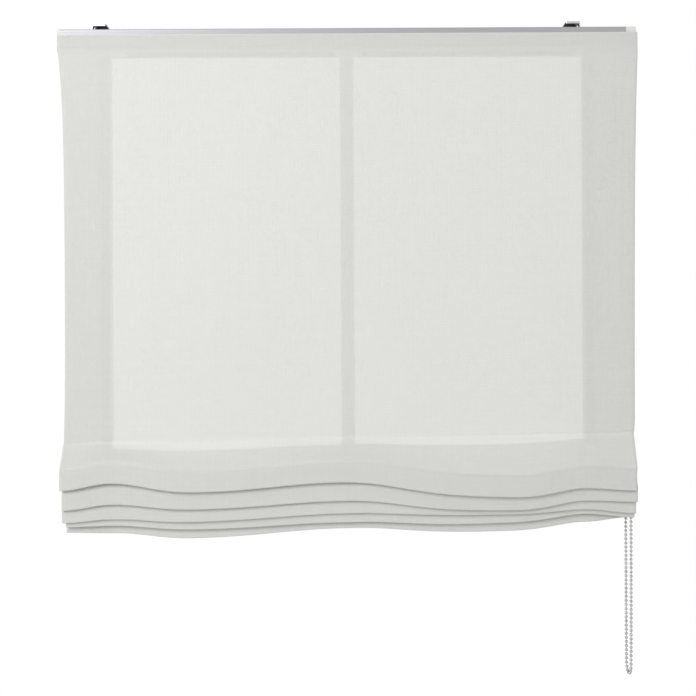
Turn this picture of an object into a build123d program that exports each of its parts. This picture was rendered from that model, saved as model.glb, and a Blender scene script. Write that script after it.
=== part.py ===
from build123d import *
import math
import os

# A chain-operated roman blind of sheer cloth, partly raised, hung from two ceiling
# clips. Millimetres. X runs to the right, Y away from the room and Z up. Everything
# is drawn about the middle of the cloth and then moved so that the origin is the
# centre of the four ceiling screws, on the top faces of the two clips.
SCREW_CENTRE_X = -15.0

# Headrail: an aluminium extrusion, open below, with a channel for the clips on top.
RAIL_TOP = -8.0
RAIL_HEIGHT = 32.0
RAIL_DEPTH = 36.0
RAIL_WALL = 1.4
RAIL_LEFT = -412.0
RAIL_RIGHT = 401.0
RAIL_MOUTH = 24.0
CHANNEL_WIDTH = 22.0
CHANNEL_HEIGHT = 4.6
CHANNEL_SLOT = 16.0
CORNER = 1.5

# Cloth, and the fastening tape that holds it to the rail.
CLOTH_HALF_WIDTH = 415.0
WAIST_HALF_WIDTH = 407.5
WAIST_Z = -230.0
EDGE_STRAIGHT = -40.0
EDGE_HANDLES = (-90.0, -140.0)
EDGE_LEAN = 3.0
CLOTH_THICKNESS = 0.6
CLOTH_TOP = -17.0
HEM_WIDTH = 60.0
FASTENER_HEIGHT = 19.0
FASTENER_THICKNESS = 1.5
LOOP_HALF_LENGTH = 413.0

# Lift lines: one woven tape, cord and row of rings at each of three places.
LIFT_LINES = {"left": -345.0, "centre": 0.0, "right": 345.0}
TAPE_WIDTH = 19.0
TAPE_THICKNESS = 0.4
RING_RADIUS = 4.2
RING_WIRE = 0.8
RING_Y = -15.2
RING_PITCH = 150.0
LOWEST_HANGING_RING = -570.0
CORD_DIAMETER = 1.4
CORD_Y = -13.2
CORD_BEND_Z = -118.0
CORD_END = -672.0

# Gathered stack: the joint between the flat cloth and the folds, and its small tilt.
FOLD_TOP = -588.0
FOLD_HALF_WIDTH = 400.0
STACK_TILT = 1.0
SOFT_GAP = 0.3

# Drive: a square shaft, cord drums in cradles, a chain wheel and a wrap-spring brake.
AXLE_Z = -27.0
SHAFT_SIDE = 5.0
SHAFT_LEFT = -409.0
SHAFT_RIGHT = 398.0
SHAFT_BEARING = 3.6
DRUM_RADIUS = 7.0
DRUM_FLANGE = 9.5
DRUM_HUB = 5.0
RUNNING_GAP = 0.06
WOUND_LENGTH = 15.0

# Bead chain: 4.5 mm beads on a 6 mm pitch, in a loop over the wheel.
BEAD_DIAMETER = 4.5
CHAIN_X = 406.0
WHEEL_BEADS = 14
BEAD_PITCH = 6.0
CHAIN_BOTTOM = -940.0
CONNECTOR_Z = -420.0
END_ANGLE = 0.25

# Clips: a steel plate screwed to the ceiling and a twist latch riveted to it.
CLIPS = {"left": -355.0, "right": 325.0}
PLATE_WIDTH = 20.0
PLATE_DEPTH = 34.0
PLATE_THICKNESS = 1.5
SCREW_HALF_SPACING = 13.0
SCREW_RADIUS = 2.25
RIVET_RADIUS = 2.5

# Worked out from the sizes above.
RAIL_BOTTOM = RAIL_TOP - RAIL_HEIGHT
RAIL_MIDDLE = RAIL_TOP - RAIL_HEIGHT / 2
INSIDE_HALF = RAIL_DEPTH / 2 - RAIL_WALL
INSIDE_TOP = RAIL_TOP - RAIL_WALL
INSIDE_BOTTOM = RAIL_BOTTOM + RAIL_WALL
CHANNEL_FLOOR = INSIDE_TOP - CHANNEL_HEIGHT
RAIL_FRONT = -RAIL_DEPTH / 2
CLOTH_BACK = RAIL_FRONT - 2 * FASTENER_THICKNESS
CLOTH_FRONT = CLOTH_BACK - CLOTH_THICKNESS
CLOTH_MIDDLE = (CLOTH_BACK + CLOTH_FRONT) / 2
WHEEL_PITCH_RADIUS = BEAD_PITCH / 2 / math.sin(math.pi / WHEEL_BEADS)
STACK_SLOPE = math.tan(math.radians(STACK_TILT))
UNDER_FASTENER = CLOTH_TOP - FASTENER_HEIGHT - 2.5

os.makedirs("parts", exist_ok=True)


def save(shape, node):
    """Writes one piece, moved into the frame of the ceiling screws."""
    export_step(Pos(-SCREW_CENTRE_X, 0, 0) * shape, f"parts/{node}.step")


def group(solids):
    """Separate equal solids that share one node."""
    return Compound(children=list(solids))


def block(x, y, z):
    """A box given by its (low, high) limits along each axis."""
    centre = [(low + high) / 2 for low, high in (x, y, z)]
    sides = [high - low for low, high in (x, y, z)]
    return Pos(*centre) * Box(*sides)


def along_x(section, start, end):
    """A section drawn with Y across and Z up, as a bar from start to end along X."""
    return Pos(start, 0, 0) * extrude(Plane.YZ * section, end - start)


def turned(radius, start, end):
    """A round bar on the drive's axle."""
    return along_x(Pos(0, AXLE_Z) * Circle(radius), start, end)


def square_bar(side, start, end):
    """A square bar on the drive's axle."""
    return along_x(Pos(0, AXLE_Z) * Rectangle(side, side), start, end)


def upright(radius, x, y, low, high):
    """A round bar that stands along Z."""
    return Pos(x, y, (low + high) / 2) * Cylinder(radius, high - low)


# ---------------------------------------------------------------- headrail

def rail_section():
    """The extrusion: thin walls, a clip channel on top and two lips below."""
    def band(half, low, high):
        return Pos(0, (low + high) / 2) * Rectangle(2 * half, high - low)

    outside = Pos(0, RAIL_MIDDLE) * RectangleRounded(RAIL_DEPTH, RAIL_HEIGHT, CORNER)
    inside = band(INSIDE_HALF, INSIDE_BOTTOM, INSIDE_TOP)
    channel = band(CHANNEL_WIDTH / 2 + RAIL_WALL, CHANNEL_FLOOR - RAIL_WALL, RAIL_TOP - RAIL_WALL / 2)
    channel_space = band(CHANNEL_WIDTH / 2, CHANNEL_FLOOR, INSIDE_TOP)
    slot = band(CHANNEL_SLOT / 2, INSIDE_TOP, RAIL_TOP)
    mouth = band(RAIL_MOUTH / 2, RAIL_BOTTOM, INSIDE_BOTTOM)
    return outside - inside + channel - channel_space - slot - mouth


def plug_section():
    """What slides into the rail's end, under the clip channel."""
    top = CHANNEL_FLOOR - RAIL_WALL - 0.2
    low = INSIDE_BOTTOM + 0.2
    return Pos(0, (top + low) / 2) * Rectangle(2 * INSIDE_HALF - 0.4, top - low)


CAP_THICKNESS = 3.0
CAP_EDGE = 0.8
CAP_PLUG_LENGTH = 12.0
PLUG_POCKET = 9.0
POCKET_Y = 11.0
POCKET_HALF_HEIGHT = 8.0
POCKET_WALL = 1.0
SHAFT_END_GAP = 1.0
HOOK_INSET = 1.0
HOOK_DROP = 1.5
LOOP_DROP = 1.0

headrail = along_x(rail_section(), RAIL_LEFT, RAIL_RIGHT)

cap_outline = Pos(0, RAIL_MIDDLE) * RectangleRounded(RAIL_DEPTH, RAIL_HEIGHT, CORNER)
cap_plate = along_x(cap_outline, RAIL_LEFT - CAP_THICKNESS, RAIL_LEFT)
cap_plate = fillet(cap_plate.faces().sort_by(Axis.X)[0].edges(), CAP_EDGE)
cap_plug = along_x(plug_section(), RAIL_LEFT, RAIL_LEFT + CAP_PLUG_LENGTH)
cap_pockets = [
    block(
        (RAIL_LEFT + POCKET_WALL, RAIL_LEFT + CAP_PLUG_LENGTH),
        (side * POCKET_Y - PLUG_POCKET / 2, side * POCKET_Y + PLUG_POCKET / 2),
        (AXLE_Z - POCKET_HALF_HEIGHT, AXLE_Z + POCKET_HALF_HEIGHT),
    )
    for side in (-1, 1)
]
cap_bearing = turned(SHAFT_BEARING, SHAFT_LEFT - SHAFT_END_GAP, RAIL_LEFT + CAP_PLUG_LENGTH)
end_cap_left = cap_plate + cap_plug - cap_pockets - cap_bearing

hook_tape = block(
    (RAIL_LEFT + HOOK_INSET, RAIL_RIGHT - HOOK_INSET),
    (RAIL_FRONT - FASTENER_THICKNESS, RAIL_FRONT),
    (CLOTH_TOP - HOOK_DROP - FASTENER_HEIGHT, CLOTH_TOP - HOOK_DROP),
)
loop_tape = block(
    (-LOOP_HALF_LENGTH, LOOP_HALF_LENGTH),
    (CLOTH_BACK, CLOTH_BACK + FASTENER_THICKNESS),
    (CLOTH_TOP - 2 * LOOP_DROP - FASTENER_HEIGHT, CLOTH_TOP - LOOP_DROP),
)

for node, piece in {
    "headrail": headrail,
    "end_cap_left": end_cap_left,
    "hook_tape": hook_tape,
    "loop_tape": loop_tape,
}.items():
    save(piece, node)


# ---------------------------------------------------------------- ceiling clips

LATCH_TOP = -2.0
LATCH_BOTTOM = RAIL_TOP + 1.5
LATCH_DISC = 8.5
LEVER_LENGTH = 14.0
LEVER_WIDTH = 9.0
LEVER_THICKNESS = 2.5
PAD_ROOT = 1.0
PAD_TOP = 0.5
PAD_REACH = 3.0
PAD_BOTTOM = RAIL_TOP + 0.7
SHANK_RADIUS = 5.0
FOOT_RADIUS = 10.4
FOOT_WIDTH = 14.8
FOOT_TOP = INSIDE_TOP - 0.1
FOOT_BOTTOM = -12.8
TAIL_RADIUS = 4.0
TAIL_TOP = -11.6
TAIL_BOTTOM = -12.6
TAIL_RECESS = (0.3, 0.1)
TAB_WIDTH = 8.0
TAB_FLARE = 1.2
TAB_INSET = 0.5
PLATE_CORNER = 1.5
FRONT_LIP = 3.0


def clip_plate(towards_centre):
    """A plate with a turned-down front edge and three tabs, two screw holes and a seat for the rivet."""
    plate = Pos(0, 0, -FRONT_LIP / 2) * Box(PLATE_WIDTH, PLATE_DEPTH, FRONT_LIP)
    plate = fillet(plate.edges().filter_by(Axis.Z), PLATE_CORNER)
    behind_lip = (PLATE_THICKNESS - PLATE_DEPTH / 2, PLATE_DEPTH)
    plate -= block((-PLATE_WIDTH, PLATE_WIDTH), behind_lip, (-2 * FRONT_LIP, -PLATE_THICKNESS))
    tab_middle = (PLATE_DEPTH - TAB_WIDTH) / 2 - TAB_INSET
    edge = PLATE_WIDTH / 2
    tab_corners = [
        (edge - PLATE_THICKNESS, -PLATE_THICKNESS / 2),
        (edge, -PLATE_THICKNESS / 2),
        (edge + TAB_FLARE, RAIL_TOP),
        (edge + TAB_FLARE - PLATE_THICKNESS, RAIL_TOP),
    ]
    for side, y in ((-1, -tab_middle), (-1, tab_middle), (1, tab_middle)):
        corners = [(side * towards_centre * x, z) for x, z in tab_corners]
        tab = extrude(Plane.XZ * Polygon(*corners, align=None), TAB_WIDTH / 2, both=True)
        plate += Pos(0, y, 0) * tab
    for y in (-SCREW_HALF_SPACING, SCREW_HALF_SPACING):
        plate -= upright(SCREW_RADIUS, 0, y, -2 * PLATE_THICKNESS, PLATE_THICKNESS)
    return plate - rivet_head()


def rivet_head():
    """The countersunk head, flush with the plate's top face."""
    return Pos(0, 0, -PLATE_THICKNESS / 2) * Cone(RIVET_RADIUS, TAIL_RADIUS, PLATE_THICKNESS)


def clip_rivet():
    """The pin that the latch turns on, with its tail set below the foot."""
    shank = upright(RIVET_RADIUS, 0, 0, TAIL_TOP, -PLATE_THICKNESS)
    tail = upright(TAIL_RADIUS, 0, 0, TAIL_BOTTOM, TAIL_TOP)
    return rivet_head() + shank + tail


def clip_latch(towards_centre):
    """A disc with a thumb lever, a shank through the rail's slot and an oblong foot under its lips."""
    disc = upright(LATCH_DISC, 0, 0, LATCH_BOTTOM, LATCH_TOP)
    lever_top = LATCH_BOTTOM + LEVER_THICKNESS
    lever = block((0, LEVER_LENGTH), (-LEVER_WIDTH / 2, LEVER_WIDTH / 2), (LATCH_BOTTOM, lever_top))
    pad_corners = [
        (LEVER_LENGTH - PAD_ROOT, lever_top),
        (LEVER_LENGTH + PAD_TOP, lever_top),
        (LEVER_LENGTH + PAD_REACH, PAD_BOTTOM),
        (LEVER_LENGTH, PAD_BOTTOM),
        (LEVER_LENGTH - PAD_ROOT, LATCH_BOTTOM),
    ]
    pad = extrude(Plane.XZ * Polygon(*pad_corners, align=None), LEVER_WIDTH / 2, both=True)
    shank = upright(SHANK_RADIUS, 0, 0, FOOT_TOP, LATCH_BOTTOM)
    foot = upright(FOOT_RADIUS, 0, 0, FOOT_BOTTOM, FOOT_TOP)
    foot &= block((-FOOT_WIDTH / 2, FOOT_WIDTH / 2), (-FOOT_RADIUS, FOOT_RADIUS), (FOOT_BOTTOM, FOOT_TOP))
    latch = disc + lever + pad + shank + foot
    latch -= upright(RIVET_RADIUS + RUNNING_GAP, 0, 0, FOOT_BOTTOM - 1, LATCH_TOP + 1)
    side_gap, top_gap = TAIL_RECESS
    latch -= upright(TAIL_RADIUS + side_gap, 0, 0, FOOT_BOTTOM - 1, TAIL_TOP + top_gap)
    return latch if towards_centre > 0 else Rot(0, 0, 180) * latch


for side, clip_x in CLIPS.items():
    direction = 1 if side == "left" else -1
    save(Pos(clip_x, 0, 0) * clip_plate(direction), f"clip_plate_{side}")
    save(Pos(clip_x, 0, 0) * clip_rivet(), f"clip_rivet_{side}")
    save(Pos(clip_x, 0, 0) * clip_latch(direction), f"clip_latch_{side}")


# ---------------------------------------------------------------- clutch and chain wheel

HOUSING_BACK = 1.2
HOUSING_RIGHT = 412.5
COVER_THICKNESS = 2.5
HOUSING_RADIUS = 18.0
CAVITY_RADIUS = 16.3
SLEEVE_BORE = 9.1
PLUG_LENGTH = 17.0
STRAND_SLOT = 5.8
COVER_EDGE = 1.0
POST_RADIUS = 5.5
POST_LEFT = 388.5
POST_FLANGE = 7.5
SPIGOT = 6.0
SPIGOT_DEPTH = 1.5
WHEEL_HALF = 3.5
GROOVE_HALF = 2.6
WHEEL_CORE = 10.8
WHEEL_RIM = 15.0
POCKET_RADIUS = 1.2
POCKET_DEPTH = 0.3
FINGER_INNER = 7.3
FINGER_OUTER = 8.7
FINGER_ARC = 140.0
FINGER_GAP = 0.4
WHEEL_LEFT = CHAIN_X - WHEEL_HALF
HUB_DISC = 3.6
HUB_GAP = 0.3
SPRING_WIRE = 0.8
SPRING_TURNS = 8
SPRING_PITCH = 0.92
SPRING_LEFT = 393.6
SPRING_TANG = 2.3


def housing_outline():
    """The rail's own width on top, and a half round below for the wheel."""
    top = Pos(0, (RAIL_TOP + AXLE_Z) / 2) * Rectangle(2 * HOUSING_RADIUS, RAIL_TOP - AXLE_Z)
    top = fillet(top.vertices().group_by(Axis.Y)[-1], CORNER)
    return top + Pos(0, AXLE_Z) * Circle(HOUSING_RADIUS)


def finger(middle_angle, start, end):
    """Part of a sleeve around the spring, as wide as FINGER_ARC."""
    ring = turned(FINGER_OUTER, start, end) - turned(FINGER_INNER, start, end)
    reach = 2 * FINGER_OUTER
    spread = math.radians(FINGER_ARC / 2)
    middle = math.radians(middle_angle)
    corners = [(0, AXLE_Z)]
    for step in (-1, -0.5, 0, 0.5, 1):
        angle = middle + step * spread
        corners.append((reach * math.cos(angle), AXLE_Z + reach * math.sin(angle)))
    return ring & along_x(Polygon(*corners, align=None), start, end)


housing = along_x(housing_outline(), RAIL_RIGHT, HOUSING_RIGHT)
housing += along_x(plug_section(), RAIL_RIGHT - PLUG_LENGTH, RAIL_RIGHT)
housing -= turned(CAVITY_RADIUS, RAIL_RIGHT + HOUSING_BACK, HOUSING_RIGHT)
housing -= turned(SLEEVE_BORE, RAIL_RIGHT - PLUG_LENGTH, HOUSING_RIGHT)
for y in (-WHEEL_PITCH_RADIUS, WHEEL_PITCH_RADIUS):
    housing -= block(
        (CHAIN_X - STRAND_SLOT / 2, CHAIN_X + STRAND_SLOT / 2),
        (y - STRAND_SLOT / 2, y + STRAND_SLOT / 2),
        (AXLE_Z - HOUSING_RADIUS - 1, AXLE_Z),
    )

cover = along_x(housing_outline(), HOUSING_RIGHT, HOUSING_RIGHT + COVER_THICKNESS)
cover = fillet(cover.faces().sort_by(Axis.X)[-1].edges(), COVER_EDGE)
cover -= square_bar(SPIGOT, HOUSING_RIGHT, HOUSING_RIGHT + SPIGOT_DEPTH)

post = turned(POST_RADIUS, POST_LEFT, HOUSING_RIGHT)
post += turned(POST_FLANGE, HOUSING_RIGHT - SPIGOT_DEPTH, HOUSING_RIGHT)
post += square_bar(SPIGOT, HOUSING_RIGHT, HOUSING_RIGHT + SPIGOT_DEPTH)
post -= turned(SHAFT_BEARING, POST_LEFT, SHAFT_RIGHT + SHAFT_END_GAP)

wheel = turned(WHEEL_RIM, WHEEL_LEFT, CHAIN_X + WHEEL_HALF)
groove = turned(WHEEL_RIM + 1, CHAIN_X - GROOVE_HALF, CHAIN_X + GROOVE_HALF)
groove -= turned(WHEEL_CORE, CHAIN_X - GROOVE_HALF, CHAIN_X + GROOVE_HALF)
wheel -= groove
wheel += finger(90, SPRING_LEFT - FINGER_GAP, WHEEL_LEFT)
wheel -= turned(POST_RADIUS + RUNNING_GAP, WHEEL_LEFT - 1, CHAIN_X + WHEEL_HALF)
for step in range(WHEEL_BEADS):
    angle = 2 * math.pi * step / WHEEL_BEADS
    y = WHEEL_PITCH_RADIUS * math.cos(angle)
    z = AXLE_Z + WHEEL_PITCH_RADIUS * math.sin(angle)
    pocket = Pos(y, z) * Circle(POCKET_RADIUS)
    wheel -= along_x(pocket, CHAIN_X - GROOVE_HALF - POCKET_DEPTH, CHAIN_X + GROOVE_HALF + POCKET_DEPTH)

hub_left = POST_LEFT - HUB_GAP - HUB_DISC
shaft_hub = turned(FINGER_OUTER, hub_left, hub_left + HUB_DISC)
shaft_hub += finger(-90, hub_left + HUB_DISC, WHEEL_LEFT - FINGER_GAP)
shaft_hub -= square_bar(SHAFT_SIDE, hub_left, hub_left + HUB_DISC)

coil_radius = POST_RADIUS + RUNNING_GAP + SPRING_WIRE / 2
coil_height = SPRING_PITCH * SPRING_TURNS
coil = Helix(pitch=SPRING_PITCH, height=coil_height, radius=coil_radius, direction=(1, 0, 0))
coil = Pos(SPRING_LEFT, 0, AXLE_Z) * Rot(90, 0, 0) * coil
spring = sweep(Plane(origin=coil @ 0, z_dir=coil % 0) * Circle(SPRING_WIRE / 2), path=coil)
for end in (coil @ 0, coil @ 1):
    outward = Vector(0, end.Y, end.Z - AXLE_Z).normalized()
    spring += extrude(Plane(origin=end, z_dir=outward) * Circle(SPRING_WIRE / 2), SPRING_TANG)

for node, piece in {
    "clutch_housing": housing,
    "clutch_cover": cover,
    "clutch_post": post,
    "chain_wheel": wheel,
    "shaft_hub": shaft_hub,
    "clutch_spring": spring,
}.items():
    save(piece, node)


# ---------------------------------------------------------------- shaft, drums and lift cords

DRUM_LEFT = -12.0
DRUM_RIGHT = 18.0
FLANGE = 1.8
HUB_LENGTH = 3.4
CRADLE_WALL = 2.0
CRADLE_FLOOR = 1.6
CRADLE_TOP = -16.4
CRADLE_SIDE_GAP = 0.4
SNAP_HALF_WIDTH = 4.4
CORD_SLOT_HALF = 9.0
CORD_SLOT_Y = (-11.5, -5.5)
END_PLAY = 0.3
CORD_GAP = 0.05
CORD_BEND = 300.0
LOCK_RADIUS = 3.2
LOCK_HEIGHT = 12.0
LOCK_EDGE = 1.0
LOCK_FLOOR = 5.0


def cord_drum(x):
    """A spool on the shaft, with a journal at each end."""
    drum = turned(DRUM_RADIUS, x + DRUM_LEFT, x + DRUM_RIGHT)
    drum += turned(DRUM_FLANGE, x + DRUM_LEFT - FLANGE, x + DRUM_LEFT)
    drum += turned(DRUM_FLANGE, x + DRUM_RIGHT, x + DRUM_RIGHT + FLANGE)
    start = x + DRUM_LEFT - FLANGE - HUB_LENGTH
    end = x + DRUM_RIGHT + FLANGE + HUB_LENGTH
    return drum + turned(DRUM_HUB, start, end) - square_bar(SHAFT_SIDE, start, end)


def drum_cradle(x):
    """Two bearing walls, open on top so that the drum snaps in, on a floor with a slot for the cord."""
    inner_left = x + DRUM_LEFT - FLANGE - END_PLAY
    inner_right = x + DRUM_RIGHT + FLANGE + END_PLAY
    left = inner_left - CRADLE_WALL
    right = inner_right + CRADLE_WALL
    half = INSIDE_HALF - CRADLE_SIDE_GAP
    cradle = block((left, right), (-half, half), (INSIDE_BOTTOM, CRADLE_TOP))
    cradle -= block((inner_left, inner_right), (-half, half), (INSIDE_BOTTOM + CRADLE_FLOOR, CRADLE_TOP))
    cradle -= turned(DRUM_HUB + RUNNING_GAP, left, right)
    cradle -= block((left, right), (-SNAP_HALF_WIDTH, SNAP_HALF_WIDTH), (AXLE_Z, CRADLE_TOP))
    floor = (INSIDE_BOTTOM, INSIDE_BOTTOM + CRADLE_FLOOR)
    return cradle - block((x - CORD_SLOT_HALF, x + CORD_SLOT_HALF), CORD_SLOT_Y, floor)


def wound_cord(x):
    """The outer shape of the turns that the drum has taken up."""
    start = x + CORD_DIAMETER / 2 + CORD_GAP
    turns = turned(DRUM_RADIUS + CORD_DIAMETER, start, start + WOUND_LENGTH)
    return turns - turned(DRUM_RADIUS, start, start + WOUND_LENGTH)


def lift_cord(x):
    """From the drum's front, through the rings behind the cloth, to the cord lock."""
    top_y = -(DRUM_RADIUS + CORD_DIAMETER / 2 + CORD_GAP)
    end = CORD_END + STACK_SLOPE * x
    corners = [(x, top_y, AXLE_Z), (x, CORD_Y, CORD_BEND_Z), (x, CORD_Y, end)]
    route = FilletPolyline(*corners, radius=CORD_BEND)
    return sweep(Plane(origin=route @ 0, z_dir=route % 0) * Circle(CORD_DIAMETER / 2), path=route)


def cord_lock(x):
    """A small barrel that grips the cord's end under the bottom ring."""
    barrel = upright(LOCK_RADIUS, x, CORD_Y, CORD_END - LOCK_HEIGHT / 2, CORD_END + LOCK_HEIGHT / 2)
    barrel = fillet(barrel.edges(), LOCK_EDGE)
    bore_floor = CORD_END - LOCK_HEIGHT / 2 + LOCK_FLOOR
    return barrel - upright(CORD_DIAMETER / 2 + SOFT_GAP, x, CORD_Y, bore_floor, CORD_END + LOCK_HEIGHT)


def ring(x, z):
    """A moulded ring, sewn to the tape by its front edge, that the cord runs down through."""
    return Pos(x, RING_Y, z) * Torus(RING_RADIUS, RING_WIRE)


def tilted(shape, pivot_z=FOLD_TOP):
    """Turned as the gathered stack hangs, with its left end a little lower."""
    return Pos(0, 0, pivot_z) * Rot(0, -STACK_TILT, 0) * Pos(0, 0, -pivot_z) * shape


def on_slope(shape, x):
    """Moved up or down to where the tilted stack is at x, and kept upright."""
    return Pos(0, 0, STACK_SLOPE * x) * shape


save(square_bar(SHAFT_SIDE, SHAFT_LEFT, SHAFT_RIGHT), "drive_shaft")
for place, line_x in LIFT_LINES.items():
    save(cord_drum(line_x), f"cord_drum_{place}")
    save(drum_cradle(line_x), f"drum_cradle_{place}")
    save(wound_cord(line_x), f"wound_cord_{place}")
    save(lift_cord(line_x), f"lift_cord_{place}")
    save(on_slope(cord_lock(line_x), line_x), f"cord_lock_{place}")


# ---------------------------------------------------------------- cloth, tapes and rings

# The folds seen from the side, front to back: (y, z, radius of the bend there). The
# cloth swells forward into the first loop, and each loop behind it hangs lower.
FOLD_START = (CLOTH_MIDDLE, FOLD_TOP)
FOLD_CORNERS = [
    (CLOTH_MIDDLE, -595.0, 8.0),
    (-42.6, -628.0, 14.0),
    (-42.6, -658.2, 2.4),
    (-37.6, -658.2, 2.4),
    (-37.6, -646.0, 10.0),
    (-22.6, -604.5, 1.3),
    (-19.6, -604.5, 1.3),
    (-35.9, -650.0, 10.0),
    (-35.9, -683.2, 2.1),
    (-31.5, -683.2, 2.1),
    (-31.5, -655.0, 10.0),
    (-22.6, -622.5, 1.3),
    (-19.6, -622.5, 1.3),
    (-30.2, -657.0, 10.0),
    (-30.2, -703.2, 1.8),
    (-26.4, -703.2, 1.8),
    (-26.4, -668.0, 10.0),
    (-22.8, -640.5, 1.2),
    (-19.9, -640.5, 1.2),
    (-24.9, -670.0, 10.0),
    (-24.9, -715.2, 1.35),
    (-22.0, -715.2, 1.35),
    (-22.0, -676.0, 10.0),
    (-20.6, -657.0, 1.15),
    (-18.0, -657.0, 1.15),
    (-18.0, -727.0, 1.8),
    (-14.2, -727.0, 1.8),
    (-14.2, -694.0, 4.0),
]
FOLD_END = (-16.9, -688.0)
APEX_HEIGHTS = [-604.5, -622.5, -640.5, -657.0]
TAPE_CORNERS = 25
TAPE_END = (-18.0, -700.0)
RING_ABOVE_APEX = 2.0

# The weight bar lies in the hem's pocket, slid to the left end of it.
BAR_LEFT = -395.0
BAR_LENGTH = 740.0
BAR_HEIGHT = 12.0
BAR_THICKNESS = 2.5
BAR_BOTTOM = -723.5
BAR_Y = -16.15


def shifted(points, radii, distance):
    """The points and bend radii of a line that runs beside a bent line, distance to its left."""
    steps = [(Vector(*b) - Vector(*a)).normalized() for a, b in zip(points, points[1:])]
    normals = [Vector(-step.Y, step.X) for step in steps]
    moved = [Vector(*points[0]) + normals[0] * distance]
    new_radii = []
    for point, before, after, radius in zip(points[1:-1], normals, normals[1:], radii):
        along = (before + after) / (1 + before.dot(after))
        moved.append(Vector(*point) + along * distance)
        left_turn = before.X * after.Y - before.Y * after.X > 0
        new_radii.append(radius - distance if left_turn else radius + distance)
    moved.append(Vector(*points[-1]) + normals[-1] * distance)
    return [(v.X, v.Y) for v in moved], new_radii


def ribbon(points, radii, near, far, start, end):
    """A strip of cloth that follows a bent line, between two distances to its left."""
    near_points, near_radii = shifted(points, radii, near)
    far_points, far_radii = shifted(points, radii, far)
    outline = FilletPolyline(*near_points, radius=near_radii)
    outline += FilletPolyline(*far_points, radius=far_radii)
    outline += Line(near_points[0], far_points[0])
    outline += Line(near_points[-1], far_points[-1])
    return along_x(make_face(outline), start, end)


def cloth_layer(side, inner, back):
    """One side of a layer of cloth, from inner to the outer edge, with the waist's curve."""
    outer = side * CLOTH_HALF_WIDTH
    waist = side * WAIST_HALF_WIDTH
    waist_end = (waist, FOLD_TOP + SOFT_GAP + STACK_SLOPE * waist)
    inner_end = (inner, FOLD_TOP + SOFT_GAP + STACK_SLOPE * inner)
    outline = Line((outer, CLOTH_TOP), (outer, EDGE_STRAIGHT))
    high_handle, low_handle = EDGE_HANDLES
    handles = [(outer - side * EDGE_LEAN, high_handle), (waist, low_handle)]
    outline += Bezier((outer, EDGE_STRAIGHT), *handles, (waist, WAIST_Z))
    outline += Polyline((waist, WAIST_Z), waist_end, inner_end, (inner, CLOTH_TOP), (outer, CLOTH_TOP))
    return Pos(0, back, 0) * extrude(Plane.XZ * make_face(outline), CLOTH_THICKNESS)


def cloth_panel():
    """The flat hanging cloth, narrower at its waist, with a second layer along each side."""
    hem_inner = CLOTH_HALF_WIDTH - HEM_WIDTH
    face = cloth_layer(1, 0, CLOTH_BACK) + cloth_layer(-1, 0, CLOTH_BACK)
    hems = [cloth_layer(side, side * hem_inner, CLOTH_BACK + CLOTH_THICKNESS) for side in (-1, 1)]
    across = (-CLOTH_HALF_WIDTH, CLOTH_HALF_WIDTH)
    below_fastener = block(across, (CLOTH_FRONT, RAIL_FRONT), (CHAIN_BOTTOM, UNDER_FASTENER))
    return face + [hem & below_fastener for hem in hems]


fold_points = [FOLD_START] + [(y, z) for y, z, radius in FOLD_CORNERS] + [FOLD_END]
fold_radii = [radius for y, z, radius in FOLD_CORNERS]
half_cloth = CLOTH_THICKNESS / 2
cloth_folds = ribbon(fold_points, fold_radii, -half_cloth, half_cloth, -FOLD_HALF_WIDTH, FOLD_HALF_WIDTH)
save(cloth_panel(), "cloth_panel")
save(tilted(cloth_folds), "cloth_folds")

tape_points = fold_points[: TAPE_CORNERS + 1] + [TAPE_END]
tape_radii = fold_radii[:TAPE_CORNERS]
for place, line_x in LIFT_LINES.items():
    left = line_x - TAPE_WIDTH / 2
    right = line_x + TAPE_WIDTH / 2
    hanging = block(
        (left, right),
        (CLOTH_BACK, CLOTH_BACK + TAPE_THICKNESS),
        (FOLD_TOP + STACK_SLOPE * line_x + 2 * SOFT_GAP, UNDER_FASTENER),
    )
    save(hanging, f"lift_tape_{place}")
    folded = ribbon(tape_points, tape_radii, half_cloth, half_cloth + TAPE_THICKNESS, left, right)
    save(tilted(folded), f"tape_folds_{place}")

HANGING_ROWS = 4
for row in range(HANGING_ROWS):
    height = LOWEST_HANGING_RING + row * RING_PITCH
    save(group(ring(x, height) for x in LIFT_LINES.values()), f"ring_row_{HANGING_ROWS - row}")
for row, apex in enumerate(APEX_HEIGHTS):
    height = apex + RING_ABOVE_APEX
    rings = [on_slope(ring(x, height), x) for x in LIFT_LINES.values()]
    save(group(rings), f"ring_row_{HANGING_ROWS + 1 + row}")

bar = block(
    (BAR_LEFT, BAR_LEFT + BAR_LENGTH),
    (BAR_Y - BAR_THICKNESS / 2, BAR_Y + BAR_THICKNESS / 2),
    (BAR_BOTTOM, BAR_BOTTOM + BAR_HEIGHT),
)
save(tilted(bar, BAR_BOTTOM), "weight_bar")


# ---------------------------------------------------------------- bead chain

def chain_path():
    """The loop in the wheel's plane: over the wheel, straight down in front, round and up behind."""
    reach = WHEEL_PITCH_RADIUS
    bottom = CHAIN_BOTTOM + reach
    path = CenterArc((0, AXLE_Z), reach, 90 + END_ANGLE, 90 - END_ANGLE)
    path += Line((-reach, AXLE_Z), (-reach, bottom))
    path += CenterArc((0, bottom), reach, 180, 180)
    path += Line((reach, bottom), (reach, AXLE_Z))
    path += CenterArc((0, AXLE_Z), reach, 0, 90 - END_ANGLE)
    return Pos(CHAIN_X, 0, 0) * (Plane.YZ * path)


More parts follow.
